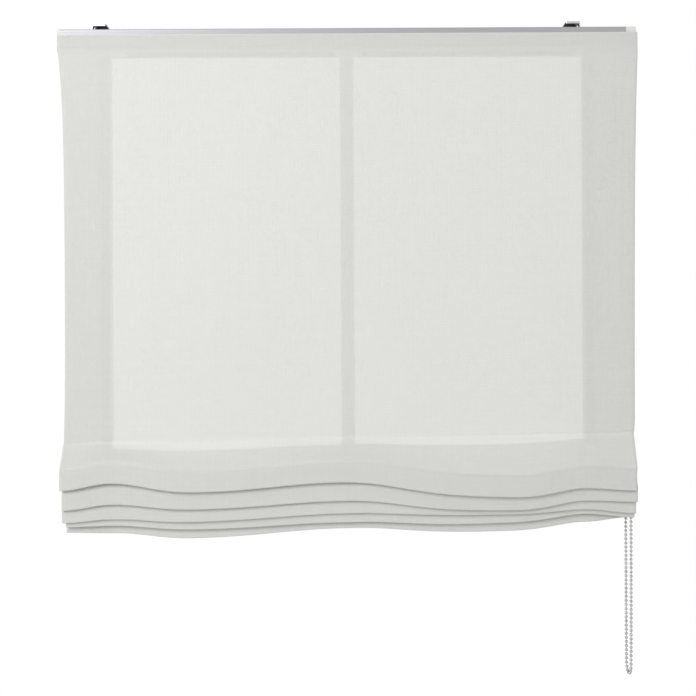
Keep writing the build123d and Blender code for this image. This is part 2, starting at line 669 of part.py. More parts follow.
chain_line = Wire(chain_path().edges())
chain_start = Plane(origin=chain_line @ 0, z_dir=chain_line % 0)
chain = sweep(chain_start * Circle(BEAD_DIAMETER / 2), path=chain_line)
section_area = math.pi * BEAD_DIAMETER**2 / 4
print("chain bend radius", round(WHEEL_PITCH_RADIUS, 2), "over the wheel and at the bottom")
print("chain length", round(chain_line.length, 1))
print("chain volume / (section x length)", round(chain.volume / (section_area * chain_line.length), 4))
save(chain, "bead_chain")

CONNECTOR_LENGTH = 13.0
CONNECTOR_WALL = 0.45
CONNECTOR_GAP = 0.05
SLIT_HALF_WIDTH = 0.6
sleeve_inner = BEAD_DIAMETER / 2 + CONNECTOR_GAP
low_end = CONNECTOR_Z - CONNECTOR_LENGTH / 2
high_end = CONNECTOR_Z + CONNECTOR_LENGTH / 2
connector = upright(sleeve_inner + CONNECTOR_WALL, CHAIN_X, WHEEL_PITCH_RADIUS, low_end, high_end)
connector -= upright(sleeve_inner, CHAIN_X, WHEEL_PITCH_RADIUS, low_end, high_end)
connector -= block(
    (CHAIN_X, CHAIN_X + 2 * BEAD_DIAMETER),
    (WHEEL_PITCH_RADIUS - SLIT_HALF_WIDTH, WHEEL_PITCH_RADIUS + SLIT_HALF_WIDTH),
    (low_end, high_end),
)
save(connector, "chain_connector")
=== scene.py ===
import math

import bpy
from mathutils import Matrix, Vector, noise


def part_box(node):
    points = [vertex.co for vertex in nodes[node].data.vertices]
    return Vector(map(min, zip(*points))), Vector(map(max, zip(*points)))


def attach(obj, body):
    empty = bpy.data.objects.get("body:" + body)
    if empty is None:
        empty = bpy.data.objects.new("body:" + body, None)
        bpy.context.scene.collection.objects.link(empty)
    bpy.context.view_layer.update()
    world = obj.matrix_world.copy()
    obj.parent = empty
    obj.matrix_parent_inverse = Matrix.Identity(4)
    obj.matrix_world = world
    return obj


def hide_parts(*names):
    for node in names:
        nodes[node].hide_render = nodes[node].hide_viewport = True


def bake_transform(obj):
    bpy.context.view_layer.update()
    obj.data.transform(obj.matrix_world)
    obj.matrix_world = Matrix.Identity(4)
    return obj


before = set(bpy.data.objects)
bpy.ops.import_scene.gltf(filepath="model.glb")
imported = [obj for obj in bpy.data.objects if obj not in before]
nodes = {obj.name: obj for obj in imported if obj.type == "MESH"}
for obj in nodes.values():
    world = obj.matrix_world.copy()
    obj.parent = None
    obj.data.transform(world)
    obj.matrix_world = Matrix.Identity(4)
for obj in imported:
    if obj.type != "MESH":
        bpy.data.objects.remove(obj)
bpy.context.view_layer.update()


# ---------------------------------------------------------------- headrail
# An aluminium extrusion with a clip channel along its top and an open mouth below.
# It is satin anodised, and the die leaves faint lines that run along its length.

def finish_named(name, colour, roughness, metallic=0.0):
    """A new material: its node tree, its shader and the place on the piece in metres."""
    material = bpy.data.materials.new(name)
    material.use_nodes = True
    tree = material.node_tree
    shader = tree.nodes["Principled BSDF"]
    shader.inputs["Base Color"].default_value = (*colour, 1.0)
    shader.inputs["Roughness"].default_value = roughness
    shader.inputs["Metallic"].default_value = metallic
    place = tree.nodes.new("ShaderNodeTexCoord").outputs["Object"]
    return material, tree, shader, place


def grain(tree, place, size, detail=2.0):
    """Noise whose grains measure size along X, Y and Z, in metres."""
    mapping = tree.nodes.new("ShaderNodeMapping")
    mapping.inputs["Scale"].default_value = [1.0 / length for length in size]
    noise_node = tree.nodes.new("ShaderNodeTexNoise")
    noise_node.inputs["Scale"].default_value = 1.0
    noise_node.inputs["Detail"].default_value = detail
    tree.links.new(place, mapping.inputs["Vector"])
    tree.links.new(mapping.outputs["Vector"], noise_node.inputs["Vector"])
    return noise_node.outputs["Fac"]


def eased(tree, value, from_range, to_range):
    """A value taken from one range to another, and held at its ends."""
    mapper = tree.nodes.new("ShaderNodeMapRange")
    mapper.inputs["From Min"].default_value, mapper.inputs["From Max"].default_value = from_range
    mapper.inputs["To Min"].default_value, mapper.inputs["To Max"].default_value = to_range
    tree.links.new(value, mapper.inputs["Value"])
    return mapper.outputs["Result"]


def tint(tree, shader, value, first, second):
    """Gives a shader a base colour that runs from one colour to another."""
    mix = tree.nodes.new("ShaderNodeMix")
    mix.data_type = "RGBA"
    mix.inputs["A"].default_value = (*first, 1.0)
    mix.inputs["B"].default_value = (*second, 1.0)
    tree.links.new(value, mix.inputs["Factor"])
    tree.links.new(mix.outputs["Result"], shader.inputs["Base Color"])


GRAIN_SPREAD = (0.3, 0.7)


def roughen(tree, shader, value, smoothest, roughest):
    """Gives a shader a roughness that follows a grain between two limits."""
    tree.links.new(eased(tree, value, GRAIN_SPREAD, (smoothest, roughest)), shader.inputs["Roughness"])


def raised(tree, height, depth, *shaders):
    """Relief of a given depth in metres, on each shader's normal."""
    bump = tree.nodes.new("ShaderNodeBump")
    bump.inputs["Distance"].default_value = depth
    tree.links.new(height, bump.inputs["Height"])
    for shader in shaders:
        tree.links.new(bump.outputs["Normal"], shader.inputs["Normal"])


def dress(material, *names):
    """Gives pieces that keep their own shape a finish."""
    for name in names:
        for slot in nodes[name].material_slots:
            slot.material = material


anodised, tree, shader, place = finish_named("anodised_aluminium", (0.50, 0.51, 0.52), 0.5, 0.6)
die_lines = grain(tree, place, (0.9, 0.0007, 0.0007), 3.0)
tint(tree, shader, die_lines, (0.44, 0.455, 0.465), (0.54, 0.55, 0.56))
roughen(tree, shader, die_lines, 0.42, 0.58)
raised(tree, die_lines, 0.00004, shader)
dress(anodised, "headrail")


# ---------------------------------------------------------------- end cap and clutch shells
# Moulded white plastic with a fine spark-eroded texture. The cap and the clutch housing
# push into the rail's two ends, and the cover closes the chain wheel in.

moulded, tree, shader, place = finish_named("white_moulded_plastic", (0.80, 0.80, 0.78), 0.5)
spark = grain(tree, place, (0.0005, 0.0005, 0.0005), 2.0)
cloudy = grain(tree, place, (0.02, 0.02, 0.02), 2.0)
tint(tree, shader, cloudy, (0.77, 0.77, 0.75), (0.83, 0.83, 0.81))
roughen(tree, shader, spark, 0.42, 0.6)
raised(tree, spark, 0.00005, shader)
dress(moulded, "end_cap_left", "clutch_housing", "clutch_cover")


# ---------------------------------------------------------------- ceiling clips
# A pressed steel plate, zinc plated, with a black moulded latch riveted under it. The
# latch turns to lock its foot under the lips of the rail's channel.

zinc, tree, shader, place = finish_named("zinc_plated_steel", (0.70, 0.71, 0.72), 0.4, 0.7)
spangle = grain(tree, place, (0.004, 0.004, 0.004), 4.0)
rolled = grain(tree, place, (0.0003, 0.02, 0.0003), 2.0)
tint(tree, shader, spangle, (0.60, 0.61, 0.63), (0.80, 0.81, 0.81))
roughen(tree, shader, spangle, 0.25, 0.5)
raised(tree, rolled, 0.00002, shader)
dress(zinc, *(f"clip_{piece}_{side}" for piece in ("plate", "rivet") for side in ("left", "right")))

black, tree, shader, place = finish_named("black_moulded_plastic", (0.02, 0.02, 0.022), 0.45)
sparkle = grain(tree, place, (0.0006, 0.0006, 0.0006), 2.0)
rubbed = grain(tree, place, (0.006, 0.006, 0.006), 3.0)
tint(tree, shader, rubbed, (0.014, 0.014, 0.016), (0.035, 0.035, 0.037))
roughen(tree, shader, sparkle, 0.36, 0.6)
raised(tree, sparkle, 0.00006, shader)
dress(black, "clip_latch_left", "clip_latch_right")


# ---------------------------------------------------------------- shaft, spring and post
# Drawn steel, lightly brushed along its length. The shaft turns the drums, and the
# spring grips the fixed post to hold the blind where it is left.

drawn, tree, shader, place = finish_named("drawn_steel", (0.55, 0.56, 0.58), 0.32, 1.0)
brushed = grain(tree, place, (0.05, 0.0003, 0.0003), 3.0)
tint(tree, shader, brushed, (0.46, 0.47, 0.49), (0.64, 0.65, 0.66))
roughen(tree, shader, brushed, 0.24, 0.42)
raised(tree, brushed, 0.00003, shader)
dress(drawn, "drive_shaft", "clutch_spring", "clutch_post")


# ---------------------------------------------------------------- drums, cradles and chain wheel
# Smooth white nylon mouldings. A drum snaps down into each cradle, and the chain wheel
# runs on the clutch's post.

nylon, tree, shader, place = finish_named("white_nylon", (0.86, 0.86, 0.83), 0.35)
shader.inputs["Subsurface Weight"].default_value = 0.1
shader.inputs["Subsurface Radius"].default_value = (0.001, 0.001, 0.0009)
flow = grain(tree, place, (0.012, 0.003, 0.003), 3.0)
tint(tree, shader, flow, (0.83, 0.83, 0.80), (0.89, 0.89, 0.86))
roughen(tree, shader, flow, 0.28, 0.45)
raised(tree, flow, 0.00004, shader)
PLACES = {}
for at in ("left", "centre", "right"):
    low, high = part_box(f"lift_tape_{at}")
    PLACES[at] = (low.x + high.x) / 2
dress(nylon, "chain_wheel", "shaft_hub")
dress(nylon, *(f"{piece}_{at}" for piece in ("cord_drum", "drum_cradle") for at in PLACES))


# ---------------------------------------------------------------- rings, cord locks and weight bar
# Small clear mouldings hang on the tapes. The white enamelled steel bar lies in the
# pocket of the bottom hem and keeps the gathered folds down.

clear, tree, shader, place = finish_named("clear_moulding", (0.86, 0.87, 0.87), 0.18)
shader.inputs["Transmission Weight"].default_value = 0.35
shader.inputs["IOR"].default_value = 1.5
milky = grain(tree, place, (0.002, 0.002, 0.002), 2.0)
tint(tree, shader, milky, (0.80, 0.82, 0.82), (0.90, 0.91, 0.90))
roughen(tree, shader, milky, 0.12, 0.28)
RING_ROWS = 8
dress(clear, *(f"ring_row_{row}" for row in range(1, RING_ROWS + 1)))
dress(clear, *(f"cord_lock_{at}" for at in PLACES))

enamel, tree, shader, place = finish_named("white_enamel", (0.86, 0.86, 0.85), 0.3)
orange_peel = grain(tree, place, (0.0015, 0.0015, 0.0015), 2.0)
tint(tree, shader, orange_peel, (0.84, 0.84, 0.83), (0.88, 0.88, 0.87))
raised(tree, orange_peel, 0.00003, shader)
dress(enamel, "weight_bar")


# ---------------------------------------------------------------- hook and loop fastener
# A stiff hook tape is glued along the rail's front, and a soft loop tape is sewn
# behind the cloth's top edge, so that the cloth peels off for washing. Both are coloured grey, darker
# than their own white, as painted shade for the band along the rail.

# The grey base colour and its tint between two greys are painted shade; only the tufts' bump is the
# tape's own nap.
painted_shade_nap, tree, shader, place = finish_named("hook_and_loop", (0.44, 0.44, 0.44), 0.9)
shader.inputs["Sheen Weight"].default_value = 0.3
tufts = grain(tree, place, (0.0006, 0.0006, 0.0006), 4.0)
tint(tree, shader, tufts, (0.36, 0.36, 0.36), (0.52, 0.52, 0.51))
raised(tree, tufts, 0.0004, shader)
dress(painted_shade_nap, "hook_tape", "loop_tape")


# ---------------------------------------------------------------- cloth
# One piece of open linen-look voile: thick uneven yarns in both directions, side hems
# turned to the back, and the lower part gathered in four loops above the bottom hem.

MM = 0.001
MIDDLE_X = PLACES["centre"]
TAPE_OUT = PLACES["right"] - MIDDLE_X
panel_low, panel_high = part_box("cloth_panel")
CLOTH_Y = panel_low.y + 0.3 * MM
CLOTH_TOP = panel_high.z
NOMINAL_HALF = (panel_high.x - panel_low.x) / 2

# As the blind lifts, the cloth shortens between FIXED_TOP and FOLD_LINE, where the folds
# begin. It hangs one degree off level. The side hems reach in as far as HEM_INNER, and lie
# LAYER_GAP behind the face.
FIXED_TOP = -0.042
FOLD_LINE = -0.588
SLOPE = math.tan(math.radians(1.0))
HEM_INNER = 0.339
TAPE_HALF = 9.5 * MM
LAYER_GAP = 0.6 * MM

# Each loop, front to back: where its front and back faces hang, how far above its lip the
# two faces leave the vertical, its lip's height at the left edge, the three tapes and the
# right edge, its sag in the left and right bays, and its two ends. In millimetres.
LOOPS = [
    dict(
        front=-42.6, back=-37.6, rise=(30, 12), sag=(12.4, 14.9), ends=(-408.5, 405.5),
        lip=(-667, -657, -657, -667, -670.5),
    ),
    dict(
        front=-35.9, back=-31.5, rise=(22, 28), sag=(8.3, 13.3), ends=(-406.5, 409.5),
        lip=(-696, -687.8, -684, -685.5, -687.5),
    ),
    dict(
        front=-30.2, back=-26.4, rise=(14, 35), sag=(6.4, 5.3), ends=(-408.0, 408.3),
        lip=(-714.5, -709.5, -702.5, -698.5, -704.5),
    ),
    dict(
        front=-24.9, back=-22.0, rise=(12, 39), sag=(6.8, 8.7), ends=(-403.5, 407.5),
        lip=(-721, -719.3, -716, -705.5, -711),
    ),
    dict(
        front=-18.0, back=-14.2, rise=(64, 33), sag=(9.5, 10.0), ends=(-404.5, 407.5),
        lip=(-730, -731, -725.5, -718.2, -711.5),
    ),
]

# Between two loops the cloth is drawn up to a tight turn at the tapes: its height behind each
# loop, and where its front and back faces stand. The last turn stands further back.
APEXES = [-604.5, -622.5, -640.5, -657.0]
APEX_FRONT, APEX_BACK, LAST_APEX_BACK = -22.6, -19.6, 2.0

# Where the left and right bays hang lowest, as a share of the way from the middle tape to
# the outer one, and how sharply their creases bend at the tapes.
LOWEST = (0.66, 0.63)
SHARPNESS = (1.1, 1.5)

# Corners of the folds' side view, in millimetres: where the hanging cloth turns out into the
# first loop, the radii of the bends, and where the turned-up hem ends.
TURN_OUT_Z, TURN_OUT_RADIUS = -595.0, 8.0
LIP_RADIUS, FACE_RADIUS, BACK_RADIUS, HEM_BACK_RADIUS, APEX_RADIUS = 2.0, 12.0, 10.0, 4.0, 1.3
HEM_END_Y, HEM_END_RISE = -16.9, 6.0

# How far forward the loops stand at a tape, as a share, and how much more between tapes, and
# the share of a loop's sag that the turn behind it takes.
FULLNESS, FULLNESS_BETWEEN = 0.92, 0.14
APEX_SAG = 0.3


def limited(share):
    """A share kept between 0 and 1."""
    return min(max(share, 0.0), 1.0)


def bay(x):
    """Which bay between two tapes x is in: 0 for the left one and 1 for the right one."""
    return 0 if x < 0 else 1


def slack(x):
    """How freely the cloth hangs at x: 0 at a tape and 1 at the lowest point of a bay."""
    across = limited((abs(x) - TAPE_HALF) / (TAPE_OUT - 2 * TAPE_HALF))
    lowest = LOWEST[bay(x)]
    reach = 1 - lowest if across > lowest else lowest
    return (1 + math.cos(math.pi * (abs(across - lowest) / reach) ** SHARPNESS[bay(x)])) / 2


def lip_height(loop, x):
    """A loop's lip at x from the middle: held up at each tape, sagging between them."""
    edge_left, left, centre, right, edge_right = loop["lip"]
    crest = TAPE_OUT - TAPE_HALF
    outside = (abs(x) - crest) / (NOMINAL_HALF - crest)
    if outside > 0:
        inner, outer = (left, edge_left) if x < 0 else (right, edge_right)
        return inner + (outer - inner) * (1 - math.cos(math.pi * min(outside, 1.0))) / 2
    level = centre + ((left, right)[bay(x)] - centre) * abs(x) / crest
    return level - loop["sag"][bay(x)] * slack(x)


def fold_corners(x):
    """The folds' side view at x, as (y, z, radius) corners in millimetres."""
    tilt = SLOPE * x / MM
    fullness = FULLNESS + FULLNESS_BETWEEN * slack(x)
    cloth_y = CLOTH_Y / MM

    def out(y):
        return cloth_y + (y - cloth_y) * fullness if y < cloth_y else y

    corners = [(cloth_y, FOLD_LINE / MM + tilt, 0.0), (cloth_y, TURN_OUT_Z + tilt, TURN_OUT_RADIUS)]
    for number, loop in enumerate(LOOPS):
        lip = lip_height(loop, x)
        front_rise, back_rise = loop["rise"]
        is_hem = number == len(LOOPS) - 1
        if not is_hem:
            corners.append((out(loop["front"]), lip + front_rise, FACE_RADIUS))
        corners.append((out(loop["front"]), lip, LIP_RADIUS))
        corners.append((out(loop["back"]), lip, LIP_RADIUS))
        corners.append((out(loop["back"]), lip + back_rise, HEM_BACK_RADIUS if is_hem else BACK_RADIUS))
        if not is_hem:
            apex = APEXES[number] + tilt - APEX_SAG * loop["sag"][bay(x)] * slack(x)
            last = number == len(LOOPS) - 2
            corners.append((APEX_FRONT + LAST_APEX_BACK if last else APEX_FRONT, apex, APEX_RADIUS))
            corners.append((LOOPS[-1]["front"] if last else APEX_BACK, apex, APEX_RADIUS))
    corners.append((HEM_END_Y, lip_height(LOOPS[-1], x) + LOOPS[-1]["rise"][1] + HEM_END_RISE, 0.0))
    return corners


# How many steps of about RUN_STEP millimetres each straight run of the folds gets, so that
# every column has as many points. BEND_SHARE is the most of a run that one bend takes up.
RUN_STEP = 4.5
sample = fold_corners(-TAPE_OUT / 2)
RUN_STEPS = [max(1, round(math.dist(a[:2], b[:2]) / RUN_STEP)) for a, b in zip(sample, sample[1:])]
BEND_STEPS = 5
BEND_SHARE = 0.48


def fold_line(x):
    """The folds' side view at x as points (y, z, corner number) along rounded corners."""
    corners = fold_corners(x)
    points = []
    last = Vector(corners[0][:2])
    for number in range(1, len(corners) - 1):
        before, corner, after = (Vector(c[:2]) for c in corners[number - 1:number + 2])
        into, out_of = corner - before, after - corner
        turn = into.angle(out_of)
        reach = min(corners[number][2] * math.tan(turn / 2), BEND_SHARE * min(into.length, out_of.length))
        start = corner - into.normalized() * reach
        end = corner + out_of.normalized() * reach
        steps = RUN_STEPS[number - 1]
        for step in range(1, steps + 1):
            points.append((*last.lerp(start, step / steps), number - 0.5))
        for step in range(1, BEND_STEPS + 1):
            share = step / BEND_STEPS
            points.append((*start.lerp(corner, share).lerp(corner.lerp(end, share), share), number))
        last = end
    steps = RUN_STEPS[-1]
    finish = Vector(corners[-1][:2])
    for step in range(1, steps + 1):
        points.append((*last.lerp(finish, step / steps), len(corners) - 1))
    return points


# The hanging cloth's left and right edges, in millimetres: where each is straight, how far it
# stands out at the rail, the height where it starts to draw in, and over what length it does.
EDGES = ((-404.2, -9.3, -35.0, 75.0), (409.2, 7.0, -50.0, 190.0))
SPREAD, SPREAD_LENGTH = 2.3, 60.0


def edge_place(side, z):
    """The edge of the hanging cloth, which draws in below the rail; the left one spreads at the folds."""
    straight, flare, flare_z, length = EDGES[0 if side < 0 else 1]
    edge = straight + flare * math.exp(min(0.0, (z - flare_z) / length))
    if side < 0:
        edge -= SPREAD * math.exp(min(0.0, (FOLD_LINE / MM - z) / SPREAD_LENGTH))
    return edge


# How many corners of the side view one loop takes, the corner where the first one starts, and
# how many corners it takes for the hanging cloth's edge to run into the loops' edges.
LOOP_CORNERS, FIRST_LOOP_CORNER, EDGE_BLEND_CORNERS = 6, 2, 3


def loop_end(side, corner_number):
    """The edge of the gathered cloth, which differs a little from loop to loop."""
    position = min(max((corner_number - FIRST_LOOP_CORNER) / LOOP_CORNERS, 0.0), len(LOOPS) - 1.0)
    low = min(int(position), len(LOOPS) - 2)
    share = position - low
    index = 0 if side < 0 else 1
    return LOOPS[low]["ends"][index] * (1 - share) + LOOPS[low + 1]["ends"][index] * share


def drawn_in(x, edge):
    """x on the uncut width, moved as the cloth outside the outer tapes draws in to its edge."""
    straight = HEM_INNER / MM
    if abs(x) <= straight:
        return x
    share = (abs(x) - straight) / (NOMINAL_HALF / MM - straight)
    return math.copysign(straight + share * (abs(edge) - straight), x)


PANEL_ROWS = 72

# Faint ripples of the hanging cloth: height in millimetres, waves a metre across, waves a
# millimetre down, and where the noise is read. They calm down near the rail and the tapes.
RIPPLES = ((1.28, 7.0, 0.0035, 0.0), (0.32, 30.0, 0.012, 5.0))
CALM_Z, CALM_LENGTH, CALM_WIDTH = -40.0, 60.0, 0.05


def ripple(x, z):
    """How far the hanging cloth stands back from its plane, x in metres and z in millimetres."""
    calm = limited((CALM_Z - z) / CALM_LENGTH)
    calm *= min(1.0, min(abs(x - tape) for tape in (-TAPE_OUT, 0, TAPE_OUT)) / CALM_WIDTH)
    return calm * sum(
        height * noise.noise(Vector((x * across, z * down, seed)))
        for height, across, down, seed in RIPPLES
    )


def column(x, layer=0.0):
    """One column of the cloth from top to hem: points, distances along it and shares of the lift.
    x is in metres from the middle, and layer is how far the column lies behind the cloth's face."""
    side = -1 if x < 0 else 1
    line = []
    end_z = (FOLD_LINE + SLOPE * x) / MM
    for row in range(PANEL_ROWS):
        z = CLOTH_TOP / MM + (end_z - CLOTH_TOP / MM) * row / PANEL_ROWS
        share = limited((FIXED_TOP / MM - z) / (FIXED_TOP / MM - end_z))
        line.append((CLOTH_Y / MM + ripple(x, z), z, edge_place(side, z), share))
    for y, z, number in fold_line(x):
        blend_in = min(1.0, number / EDGE_BLEND_CORNERS)
        edge = edge_place(side, FOLD_LINE / MM) * (1 - blend_in) + loop_end(side, number) * blend_in
        line.append((y, z, edge, 1.0))
    points, along, distance = [], [], 0.0
    for index, (y, z, edge, share) in enumerate(line):
        before, after = line[max(index - 1, 0)], line[min(index + 1, len(line) - 1)]
        step = Vector((after[0] - before[0], after[1] - before[1])).normalized()
        behind = Vector((-step.y, step.x)) * layer / MM
        if index:
            distance += math.dist(line[index][:2], line[index - 1][:2])
        across = drawn_in(x / MM, edge)
        points.append(Vector((MIDDLE_X + across * MM, (y + behind.x) * MM, (z + behind.y) * MM)))
        along.append(distance * MM)
    return points, along, [part[3] for part in line]


def piece_of(name, vertices, faces):
    """A smoothly shaded piece made of points and faces."""
    mesh = bpy.data.meshes.new(name)
    mesh.from_pydata(vertices, [], faces)
    mesh.polygons.foreach_set("use_smooth", [True] * len(faces))
    piece = bpy.data.objects.new(name, mesh)
    bpy.context.scene.collection.objects.link(piece)
    return piece


def sheet_mesh(name, columns, flat_places):
    """A mesh through columns of points, with each point's place on the flat cloth as its UV.
    One column gives the distances down the flat cloth, so that the weft follows the rows."""
    rows = len(columns[0][0])
    alongs = columns[len(columns) // 4][1]
    vertices = [point for points, along, shares in columns for point in points]
    faces = []
    for c in range(len(columns) - 1):
        for r in range(rows - 1):
            a = c * rows + r
            faces.append((a, a + 1, a + rows + 1, a + rows))
    piece = piece_of(name, vertices, faces)
    flat = [(place_x, along) for place_x in flat_places for along in alongs]
    weave = piece.data.uv_layers.new(name="flat_cloth")
    for corner in piece.data.loops:
        weave.data[corner.index].uv = flat[corner.vertex_index]
    piece.data.update()
    return piece


def shortens(piece):
    """Bakes a piece's placement into its points; the piece does not shorten as the stack rises."""
    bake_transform(piece)


# The columns run from the left hem's inner edge, round its outer edge, across the face and
# round to the back again: x on the blind, how far behind the face, and x on the flat cloth.
FACE_COLUMNS = 168
HEM_COLUMNS = 12
HEM_INSET, FACE_INSET, ROUND_THE_EDGE = 0.001, 0.0005, 0.0003
places = []
for step in range(HEM_COLUMNS):
    hem_x = HEM_INNER + (NOMINAL_HALF - HEM_INSET - HEM_INNER) * step / (HEM_COLUMNS - 1)
    places.append((-hem_x, LAYER_GAP, -2 * NOMINAL_HALF + hem_x))
places.append((-NOMINAL_HALF, LAYER_GAP / 2, -NOMINAL_HALF - ROUND_THE_EDGE))
for step in range(FACE_COLUMNS + 1):
    face_x = (NOMINAL_HALF - FACE_INSET) * (2 * step / FACE_COLUMNS - 1)
    places.append((face_x, 0.0, face_x))
for x, layer, flat_x in reversed(places[:HEM_COLUMNS + 1]):
    places.append((-x, layer, -flat_x))
columns = [column(x, layer) for x, layer, flat_x in places]
cloth = sheet_mesh("cloth", columns, [flat_x for x, layer, flat_x in places])


def yarn(tree, flat, pitch, direction):
    """Yarns at a pitch along one direction: 1 in the middle of a yarn and 0 between two."""
    split = tree.nodes.new("ShaderNodeSeparateXYZ")
    tree.links.new(flat, split.inputs["Vector"])
    turns = tree.nodes.new("ShaderNodeMath")
    turns.operation = "MULTIPLY"
    turns.inputs[1].default_value = 2 * math.pi / pitch
    tree.links.new(split.outputs[direction], turns.inputs[0])
    wave = tree.nodes.new("ShaderNodeMath")
    wave.operation = "COSINE"
    tree.links.new(turns.outputs["Value"], wave.inputs[0])
    return eased(tree, wave.outputs["Value"], (-1, 1), (0, 1))


def joined(tree, operation, first, second):
    """Two values put together, by their sum or by the larger of the two."""
    node = tree.nodes.new("ShaderNodeMath")
    node.operation = operation
    tree.links.new(first, node.inputs[0])
    tree.links.new(second, node.inputs[1])
    return node.outputs["Value"]


# Slubs are short thick stretches, and whole yarns also run a little thick or thin: both as
# width and length. A yarn's own thickness runs from 0 to 1, and these are added to it.
YARN_PITCH = 0.9 * MM
SLUB, UNEVEN_YARN = (1.1 * MM, 22 * MM), (1.6 * MM, 500 * MM)
SLUB_SPREAD, SLUB_THICKNESS = (0.60, 0.78), (0, 0.55)
YARN_THICKNESS = (-0.12, 0.12)

# The thickness at which the weave is most open and at which it is closed, and how much of
# the yarns' light comes through from the other side.
OPEN_TO_CLOSED = (0.3, 2.2)
SHINES_THROUGH = 0.06


def voile(name, openness, dark, light):
    """An open weave: fine yarns both ways with thick and thin stretches, lit from both sides."""
    material, tree, shader, place = finish_named(name, light, 0.9)
    flat = tree.nodes.new("ShaderNodeUVMap")
    flat.uv_map = "flat_cloth"
    flat = flat.outputs["UV"]
    upright_slubs = eased(tree, grain(tree, flat, (*SLUB, 1.0), 1.0), SLUB_SPREAD, SLUB_THICKNESS)
    level_slubs = eased(tree, grain(tree, flat, (*SLUB[::-1], 1.0), 1.0), SLUB_SPREAD, SLUB_THICKNESS)
    upright_grain = grain(tree, flat, (*UNEVEN_YARN, 1.0), 1.0)
    upright_yarns = eased(tree, upright_grain, GRAIN_SPREAD, YARN_THICKNESS)
    level_grain = grain(tree, flat, (*UNEVEN_YARN[::-1], 1.0), 1.0)
    level_yarns = eased(tree, level_grain, GRAIN_SPREAD, YARN_THICKNESS)
    slubs = joined(tree, "MAXIMUM", upright_slubs, level_slubs)
    slubs = joined(tree, "ADD", slubs, joined(tree, "ADD", upright_yarns, level_yarns))
    fine = joined(tree, "MAXIMUM", yarn(tree, flat, YARN_PITCH, "X"), yarn(tree, flat, YARN_PITCH, "Y"))
    thick = joined(tree, "ADD", fine, slubs)
    tint(tree, shader, slubs, dark, light)
    back_lit = tree.nodes.new("ShaderNodeBsdfTranslucent")
    back_lit.inputs["Color"].default_value = (*light, 1.0)
    raised(tree, thick, 0.00025, shader, back_lit)
    gap = tree.nodes.new("ShaderNodeBsdfTransparent")
    body = tree.nodes.new("ShaderNodeMixShader")
    body.inputs["Fac"].default_value = SHINES_THROUGH
    tree.links.new(shader.outputs["BSDF"], body.inputs[1])
    tree.links.new(back_lit.outputs["BSDF"], body.inputs[2])
    whole = tree.nodes.new("ShaderNodeMixShader")
    tree.links.new(eased(tree, thick, OPEN_TO_CLOSED, (1 - openness, 1.0)), whole.inputs["Fac"])
    tree.links.new(gap.outputs["BSDF"], whole.inputs[1])
    tree.links.new(body.outputs["Shader"], whole.inputs[2])
    tree.links.new(whole.outputs["Shader"], tree.nodes["Material Output"].inputs["Surface"])
    return material


cloth.data.materials.append(voile("linen_voile", 0.13, (0.895, 0.90, 0.86), (0.925, 0.93, 0.89)))
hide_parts("cloth_panel", "cloth_folds")
shortens(cloth)


# ---------------------------------------------------------------- stitching
# White polyester thread in short lockstitches: two rows hold the loop tape behind the
# cloth's top edge.

STITCH_LENGTH = 2.4 * MM
STITCH_PITCH = 3.2 * MM
STITCH_RADIUS = 0.22 * MM
STITCH_SIDES = 6
STITCH_INSET = 6.0 * MM
HEADER_ROWS = (CLOTH_TOP - 3.5 * MM, CLOTH_TOP - 18.0 * MM)


def stitch(vertices, faces, start, end, outward):
    """One stitch, an arch of thread that dips into the cloth at both ends."""
    profile = ((0.0, -1.0), (0.2, 0.5), (0.5, 0.9), (0.8, 0.5), (1.0, -1.0))
    along = (end - start).normalized()
    sideways = along.cross(outward)
    first = len(vertices)
    for share, lift in profile:
        centre = start.lerp(end, share) + outward * lift * STITCH_RADIUS
        for side in range(STITCH_SIDES):
            angle = 2 * math.pi * side / STITCH_SIDES
            towards = outward * math.cos(angle) + sideways * math.sin(angle)
            vertices.append(centre + towards * STITCH_RADIUS)
    for ring in range(len(profile) - 1):
        for side in range(STITCH_SIDES):
            a = first + ring * STITCH_SIDES + side
            b = first + ring * STITCH_SIDES + (side + 1) % STITCH_SIDES
            faces.append((a, b, b + STITCH_SIDES, a + STITCH_SIDES))
    faces.append(tuple(reversed(range(first, first + STITCH_SIDES))))
    faces.append(tuple(range(len(vertices) - STITCH_SIDES, len(vertices))))


vertices, faces = [], []
front = Vector((0, -1, 0))
for z in HEADER_ROWS:
    for number in range(int(2 * (NOMINAL_HALF - STITCH_INSET) / STITCH_PITCH)):
        start = Vector((MIDDLE_X - NOMINAL_HALF + STITCH_INSET + number * STITCH_PITCH, CLOTH_Y, z))
        stitch(vertices, faces, start, start + Vector((STITCH_LENGTH, 0, 0)), front)
header_stitches = piece_of("header_stitches", vertices, faces)
thread, tree, shader, place = finish_named("sewing_thread", (0.88, 0.88, 0.86), 0.6)
twist = grain(tree, place, (0.0004, 0.0002, 0.0002), 1.0)
tint(tree, shader, twist, (0.80, 0.80, 0.78), (0.92, 0.92, 0.90))
raised(tree, twist, 0.00008, shader)
header_stitches.data.materials.append(thread)
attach(header_stitches, "rail")


# ---------------------------------------------------------------- lift tapes
# Narrow woven tapes sewn down the back of the cloth, over the side hems' inner edges.
# They carry the rings and follow the cloth through its folds.

